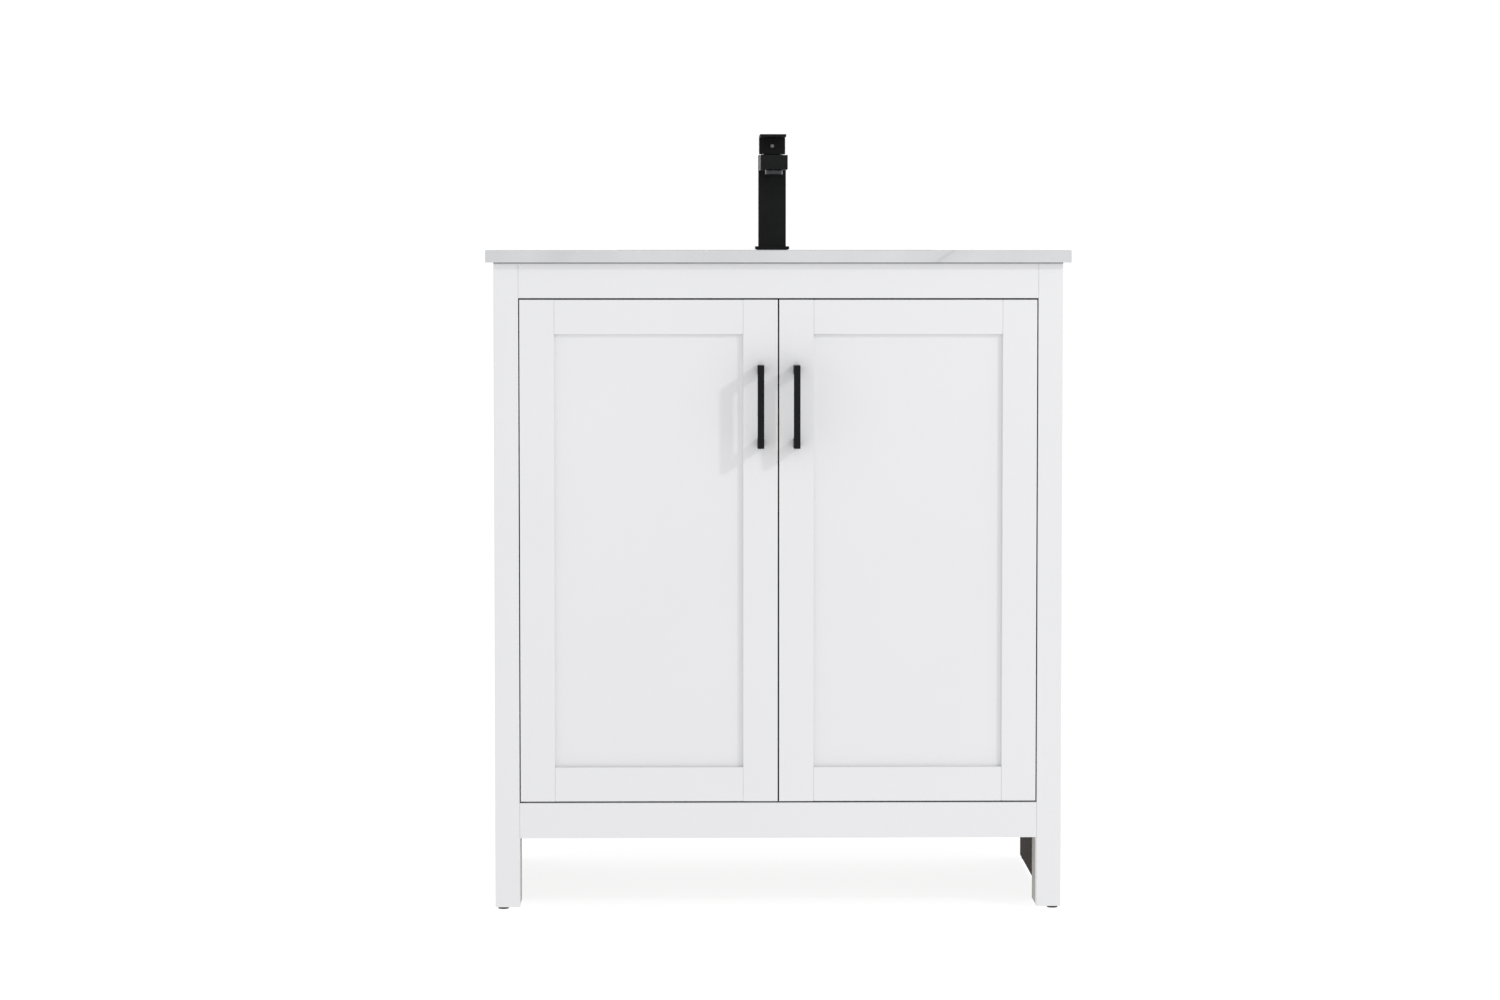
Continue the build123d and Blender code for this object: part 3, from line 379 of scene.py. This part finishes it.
def black_coat():
    """Matte black powder coat: nearly black, with a fine even grain."""
    coat = Finish("black_coat")
    grain = coat.noise(2600.0, detail=2.0)
    clouds = coat.noise(40.0)
    coat.colour(coat.ramp(clouds, [(0.3, (0.0052, 0.0055, 0.0060)), (0.7, (0.0075, 0.0078, 0.0084))]))
    coat.rough_from(coat.spread(grain, 0.34, 0.46))
    coat.bump(grain, 0.10, 0.0001)
    coat.set(Specular_IOR_Level=0.12)
    return coat.material


def plated(name, colour, rough_low, rough_high, streak):
    """A plated or bare metal with fine streaks in its roughness."""
    metal = Finish(name)
    streaks = metal.noise(streak, detail=3.0, where=metal.stretched(1.0, 1.0, 0.12))
    low = tuple(0.94 * c for c in colour)
    metal.colour(metal.ramp(metal.noise(50.0), [(0.3, low), (0.7, colour)]))
    metal.rough_from(metal.spread(streaks, rough_low, rough_high))
    metal.bump(streaks, 0.03, 0.0001)
    metal.set(Metallic=1.0)
    return metal.material


def moulded(name, colour, rough_low, rough_high):
    """Rubber or plastic with a fine moulded grain."""
    plastic = Finish(name)
    grain = plastic.noise(1400.0, detail=2.0)
    low = tuple(0.88 * c for c in colour)
    plastic.colour(plastic.ramp(plastic.noise(70.0), [(0.3, low), (0.7, colour)]))
    plastic.rough_from(plastic.spread(grain, rough_low, rough_high))
    plastic.bump(grain, 0.08, 0.0001)
    return plastic.material


def make_finishes():
    """Every finish by the record's slot name, and a few more for single pieces."""
    return {
        "painted_wood": white_paint(),
        # Brown board, darkened as painted shade.
        "raw_board": brown_board_and_painted_shade(),
        "stone": white_stone(),
        "ceramic": white_glaze(),
        "chrome": plated("bright_chrome", (0.82, 0.83, 0.84), 0.05, 0.12, 260.0),
        "drain_metal": plated("satin_brass", (0.60, 0.46, 0.24), 0.24, 0.38, 500.0),
        "plated_steel": plated("zinc_steel", (0.60, 0.61, 0.62), 0.22, 0.36, 700.0),
        "rubber": moulded("black_rubber", (0.022, 0.022, 0.023), 0.62, 0.78),
        "nut_plastic": moulded("dark_nylon", (0.030, 0.030, 0.032), 0.42, 0.56),
        "cartridge_plastic": moulded("pale_nylon", (0.70, 0.70, 0.68), 0.38, 0.50),
        "bumper_plastic": moulded("clear_bumper", (0.62, 0.63, 0.63), 0.20, 0.32),
        "black_metal": black_coat(),
        "smoked_chrome": plated("smoked_chrome", (0.16, 0.16, 0.17), 0.16, 0.26, 400.0),
        # Painted reflection: chrome darkened to stand in for dark surroundings mirrored in the aerator.
        "chrome_painted_dark_reflection": plated("chrome_painted_dark_reflection", (0.055, 0.056, 0.058), 0.10, 0.18, 300.0),
        # Grey painted shade for the hinge strips' white paint.
        "shade_grey": grey_painted_shade(),
        # Dark grey painted shade for the bead under the counter's front.
        "seal_grey_painted_shade": moulded("seal_grey_painted_shade", (0.16, 0.16, 0.16), 0.50, 0.62),
        "white_seal": moulded("white_seal", (0.74, 0.74, 0.73), 0.30, 0.42),
    }


FINISH_OF_NODE = {
    # The hinge strips are white-painted; their grey finish is painted shade.
    "hinge_strip_left": "shade_grey",
    "hinge_strip_right": "shade_grey",
    "faucet_index_button": "smoked_chrome",
    # The aerator's dark chrome is a painted dark reflection.
    "faucet_aerator": "chrome_painted_dark_reflection",
}
EDGE_BY_SLOT = {
    "painted_wood": PAINTED_EDGE,
    "raw_board": BOARD_EDGE,
    "ceramic": METAL_EDGE,
    "black_metal": COATED_EDGE,
    "nut_plastic": METAL_EDGE,
}


def soften(piece, width):
    """Join the piece's shared corners and round its sharp edges."""
    weld = piece.modifiers.new("weld", "WELD")
    weld.merge_threshold = 1e-6
    flatten = piece.modifiers.new("flatten", "DECIMATE")
    flatten.decimate_type = "DISSOLVE"
    flatten.angle_limit = math.radians(0.5)
    bevel = piece.modifiers.new("bevel", "BEVEL")
    bevel.width = width
    bevel.segments = 3
    bevel.limit_method = "ANGLE"
    bevel.angle_limit = math.radians(35)
    bevel.harden_normals = True
    bevel.use_clamp_overlap = True


def dress_cad_nodes(finishes):
    """Give every CAD node its finish, and soft edges where the real piece has them."""
    for entry in frame["record"]["subparts"]:
        piece = NODES[entry["node"]]
        slot = entry["material_slot"]
        piece.data.materials.clear()
        piece.data.materials.append(finishes[FINISH_OF_NODE.get(entry["node"], slot)])
        if slot != "stone":
            soften(piece, EDGE_BY_SLOT.get(slot, FINE_EDGE))


def leave_inner_faces_bare(finishes):
    """The side panels are painted outside and left as bare board inside, in the brown that is darkened
    as painted shade.
    """
    for node, inward in (("side_panel_left", 1), ("side_panel_right", -1)):
        panel = NODES[node]
        panel.data.materials.append(finishes["raw_board"])
        for face in panel.data.polygons:
            if face.normal.x * inward > 0.9:
                face.material_index = 1


# ---------------------------------------------------------------- small pieces

class Shape:
    """Vertices and faces gathered for one piece."""

    def __init__(self):
        self.vertices = []
        self.faces = []

    def row(self, points):
        """Add a row of vertices and return their numbers."""
        start = len(self.vertices)
        self.vertices += [tuple(point) for point in points]
        return list(range(start, len(self.vertices)))

    def strip(self, first, second, closed):
        """Join two rows of the same length with quads."""
        count = len(first)
        last = count if closed else count - 1
        for i in range(last):
            j = (i + 1) % count
            self.faces.append((first[i], first[j], second[j], second[i]))

    def piece(self, name, body, slot, finish, smooth=True):
        """Make the piece, with its finish, on its body."""
        mesh = bpy.data.meshes.new(name)
        mesh.from_pydata(self.vertices, [], self.faces)
        mesh.polygons.foreach_set("use_smooth", [smooth] * len(mesh.polygons))
        mesh.materials.append(finish)
        piece = bpy.data.objects.new(name, mesh)
        bpy.context.collection.objects.link(piece)
        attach(piece, body)
        return piece


def add_screw_head(shape, place, outward, radius):
    """A pan head with a cross recess, standing on a face."""
    across = outward.orthogonal().normalized()
    up = outward.cross(across)
    height = SCREW_DOME * radius
    arm = SCREW_ARM * radius
    reach = SCREW_REACH * radius
    rows = []
    for share in SCREW_RINGS:
        distance = share * radius
        points = []
        for step in range(SCREW_STEPS):
            angle = 2 * math.pi * step / SCREW_STEPS
            side = distance * math.cos(angle)
            rise = distance * math.sin(angle)
            lift = height * (1 - SCREW_CROWN * share**2)
            if share == 1.0:
                lift = SCREW_RIM * height
            if distance < reach and min(abs(side), abs(rise)) < arm:
                lift -= SCREW_RECESS * height * (1 - distance / reach)
            points.append(place + across * side + up * rise + outward * lift)
        rows.append(shape.row(points))
    rim = [Vector(shape.vertices[i]) for i in rows[-1]]
    rows.append(shape.row([point - outward * (point - place).dot(outward) for point in rim]))
    for first, second in zip(rows, rows[1:]):
        shape.strip(first, second, closed=True)
    shape.faces.append(tuple(reversed(rows[0])))
    shape.faces.append(tuple(rows[-1]))


def add_thread(shape, axis, low, high, radius, pitch):
    """A helical ridge round an upright cylinder, from one height to another."""
    depth = THREAD_DEPTH * pitch
    steps = int(THREAD_STEPS * (high - low - pitch) / pitch)
    rows = []
    for step in range(steps + 1):
        angle = 2 * math.pi * step / THREAD_STEPS
        rise = low + pitch / 2 + pitch * step / THREAD_STEPS
        around = Vector((math.cos(angle), math.sin(angle), 0.0))
        centre = Vector((axis.x, axis.y, rise))
        inner = centre + around * (radius - depth / 2)
        lift = Vector((0.0, 0.0, THREAD_HALF_FOOT * pitch))
        rows.append(shape.row([inner - lift, centre + around * (radius + depth / 2), inner + lift]))
    for first, second in zip(rows, rows[1:]):
        shape.strip(first, second, closed=True)
    shape.faces.append(tuple(reversed(rows[0])))
    shape.faces.append(tuple(rows[-1]))


def middle_of(node):
    """The middle of a node's box."""
    low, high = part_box(node)
    return (Vector(low) + Vector(high)) / 2


def make_threads(finishes):
    """Threads where the faucet's shank and the drain's neck show below their nuts."""
    low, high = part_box("faucet_shank")
    nut_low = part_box("faucet_locknut")[0].z
    shape = Shape()
    add_thread(shape, middle_of("faucet_shank"), low.z, nut_low, high.x, SHANK_PITCH)
    shape.piece("faucet_shank_thread", "cabinet", "drain_metal", finishes["drain_metal"])

    body_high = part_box("drain_body")[1].z
    nut_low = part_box("drain_locknut")[0].z
    shape = Shape()
    add_thread(shape, middle_of("drain_body"), body_high, nut_low, DRAIN_NECK_RADIUS, DRAIN_PITCH)
    shape.piece("drain_neck_thread", "cabinet", "chrome", finishes["chrome"])


def make_screw_heads(finishes):
    """Cross-recessed heads on the pulls' screws, the hinge cups, the hinge plates and the arms."""
    steel = finishes["plated_steel"]
    backward = Vector((0.0, 1.0, 0.0))
    for side in ("left", "right"):
        shape = Shape()
        low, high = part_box(f"{side}_door_pull_screws")
        x = (low.x + high.x) / 2
        for z in (low.z + PULL_SCREW_HEAD, high.z - PULL_SCREW_HEAD):
            add_screw_head(shape, Vector((x, high.y, z)), backward, PULL_SCREW_HEAD * PULL_HEAD_SHARE)
        low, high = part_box(f"{side}_door_hinge_cups")
        x = (low.x + high.x) / 2
        for cup_z in (low.z + CUP_WING, high.z - CUP_WING):
            for offset in (-CUP_SCREW, CUP_SCREW):
                add_screw_head(shape, Vector((x, high.y, cup_z + offset)), backward, SMALL_SCREW_HEAD)
        shape.piece(f"{side}_door_screw_heads", f"{side}_door", "plated_steel", steel)

    shape = Shape()
    low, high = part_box("hinge_plates")
    half_plate = PLATE_HEIGHT / 2
    plate_y = (low.y + high.y) / 2
    for sign in (-1, 1):
        inward = Vector((-sign, 0.0, 0.0))
        plate_x = sign * (high.x - PLATE_THICKNESS)
        arm_x = plate_x - sign * ARM_THICKNESS
        for z in (low.z + half_plate, high.z - half_plate):
            for offset in (-PLATE_SCREW, PLATE_SCREW):
                add_screw_head(shape, Vector((plate_x, plate_y, z + offset)), inward, SMALL_SCREW_HEAD)
            for offset in (-ARM_SCREW, ARM_SCREW):
                add_screw_head(shape, Vector((arm_x, plate_y + offset, z)), inward, SMALL_SCREW_HEAD)
    shape.piece("hinge_screw_heads", "cabinet", "plated_steel", steel)


def make_aerator_screen(finishes):
    """A honeycomb insert in the aerator's mouth."""
    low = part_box("faucet_aerator")[0]
    centre = middle_of("faucet_aerator")
    reach = AERATOR_BORE_RADIUS - SCREEN_CELL
    levels = (low.z + SCREEN_LOW, low.z + SCREEN_HIGH)
    outer = SCREEN_OUTER * SCREEN_CELL
    inner = SCREEN_INNER * SCREEN_CELL
    shape = Shape()
    rows = int(reach / SCREEN_CELL) + 1
    for row in range(-rows, rows + 1):
        for column in range(-rows, rows + 1):
            x = SCREEN_CELL * (column + 0.5 * (row % 2))
            y = SCREEN_CELL * row * math.sqrt(3) / 2
            if math.hypot(x, y) > reach:
                continue
            rings = []
            for radius, z in (
                (outer, levels[0]),
                (inner, levels[0]),
                (inner, levels[1]),
                (outer, levels[1]),
            ):
                corners = []
                for corner in range(6):
                    angle = math.pi / 6 + corner * math.pi / 3
                    corner_x = centre.x + x + radius * math.cos(angle)
                    corner_y = centre.y + y + radius * math.sin(angle)
                    corners.append((corner_x, corner_y, z))
                rings.append(shape.row(corners))
            for first, second in zip(rings, rings[1:] + rings[:1]):
                shape.strip(first, second, closed=True)
    plastic = finishes["cartridge_plastic"]
    shape.piece("aerator_screen", "cabinet", "cartridge_plastic", plastic, smooth=False)


def rounded_path(half_x, half_y, corner, centre, steps):
    """Points and outward directions round a rounded rectangle, anticlockwise from above."""
    path = []
    for quarter, (sign_x, sign_y) in enumerate(((1, 1), (-1, 1), (-1, -1), (1, -1))):
        for step in range(steps + 1):
            angle = math.pi / 2 * (quarter + step / steps)
            out = Vector((math.cos(angle), math.sin(angle), 0.0))
            middle = Vector((sign_x * (half_x - corner), sign_y * (half_y - corner), 0.0))
            path.append((centre + middle + out * corner, out))
    return path


def add_bead(shape, path, size, outward, closed):
    """A scooped bead in the corner under a slab, along a path at the slab's underside."""
    rows = []
    for point, out in path:
        away = out * outward
        section = [point]
        for step in range(BEAD_STEPS + 1):
            angle = math.pi / 2 * step / BEAD_STEPS
            scoop = 1 - BEAD_SCOOP * math.sin(2 * angle)
            reach = away * (size * math.cos(angle) * scoop)
            drop = Vector((0.0, 0.0, -size * math.sin(angle) * scoop))
            section.append(point + reach + drop)
        rows.append(shape.row(section))
    for first, second in zip(rows, rows[1:]):
        shape.strip(first, second, closed=True)
    if closed:
        shape.strip(rows[-1], rows[0], closed=True)
    else:
        shape.faces.append(tuple(reversed(rows[0])))
        shape.faces.append(tuple(rows[-1]))


def make_seals(finishes):
    """Sealant under the counter: white round the bowl, and a bead along the top of the face frame whose
    dark grey is painted shade for the shadow line under the counter's front.
    """
    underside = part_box("basin")[1].z
    half_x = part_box("basin")[1].x - SEAL_INSIDE_FLANGE
    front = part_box("basin")[0].y + SEAL_INSIDE_FLANGE
    bowl_y = middle_of("drain_flange").y
    centre = Vector((0.0, bowl_y, underside))
    shape = Shape()
    path = rounded_path(half_x, bowl_y - front, SEAL_CORNER, centre, SEAL_CORNER_STEPS)
    add_bead(shape, path, BOWL_SEAL, -1.0, closed=True)
    shape.piece("bowl_seal", "cabinet", "bumper_plastic", finishes["white_seal"])

    # Painted shade: this dark grey bead darkens the shadow line where the counter's front meets the face
    # frame.
    face_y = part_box("face_rail_top")[0].y
    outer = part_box("face_stile_right")[1].x
    forward = Vector((0.0, -1.0, 0.0))
    shape = Shape()
    path = [(Vector((x, face_y, underside)), forward) for x in (-outer, outer)]
    add_bead(shape, path, FRAME_SEAL, 1.0, closed=False)
    shape.piece("frame_seal_painted_shade", "cabinet", "rubber", finishes["seal_grey_painted_shade"])


make_camera()
make_world()
make_lights()
make_floor()
FINISHES = make_finishes()
dress_cad_nodes(FINISHES)
leave_inner_faces_bare(FINISHES)
make_threads(FINISHES)
make_screw_heads(FINISHES)
make_aerator_screen(FINISHES)
make_seals(FINISHES)
bpy.context.scene.view_settings.view_transform = "Standard"
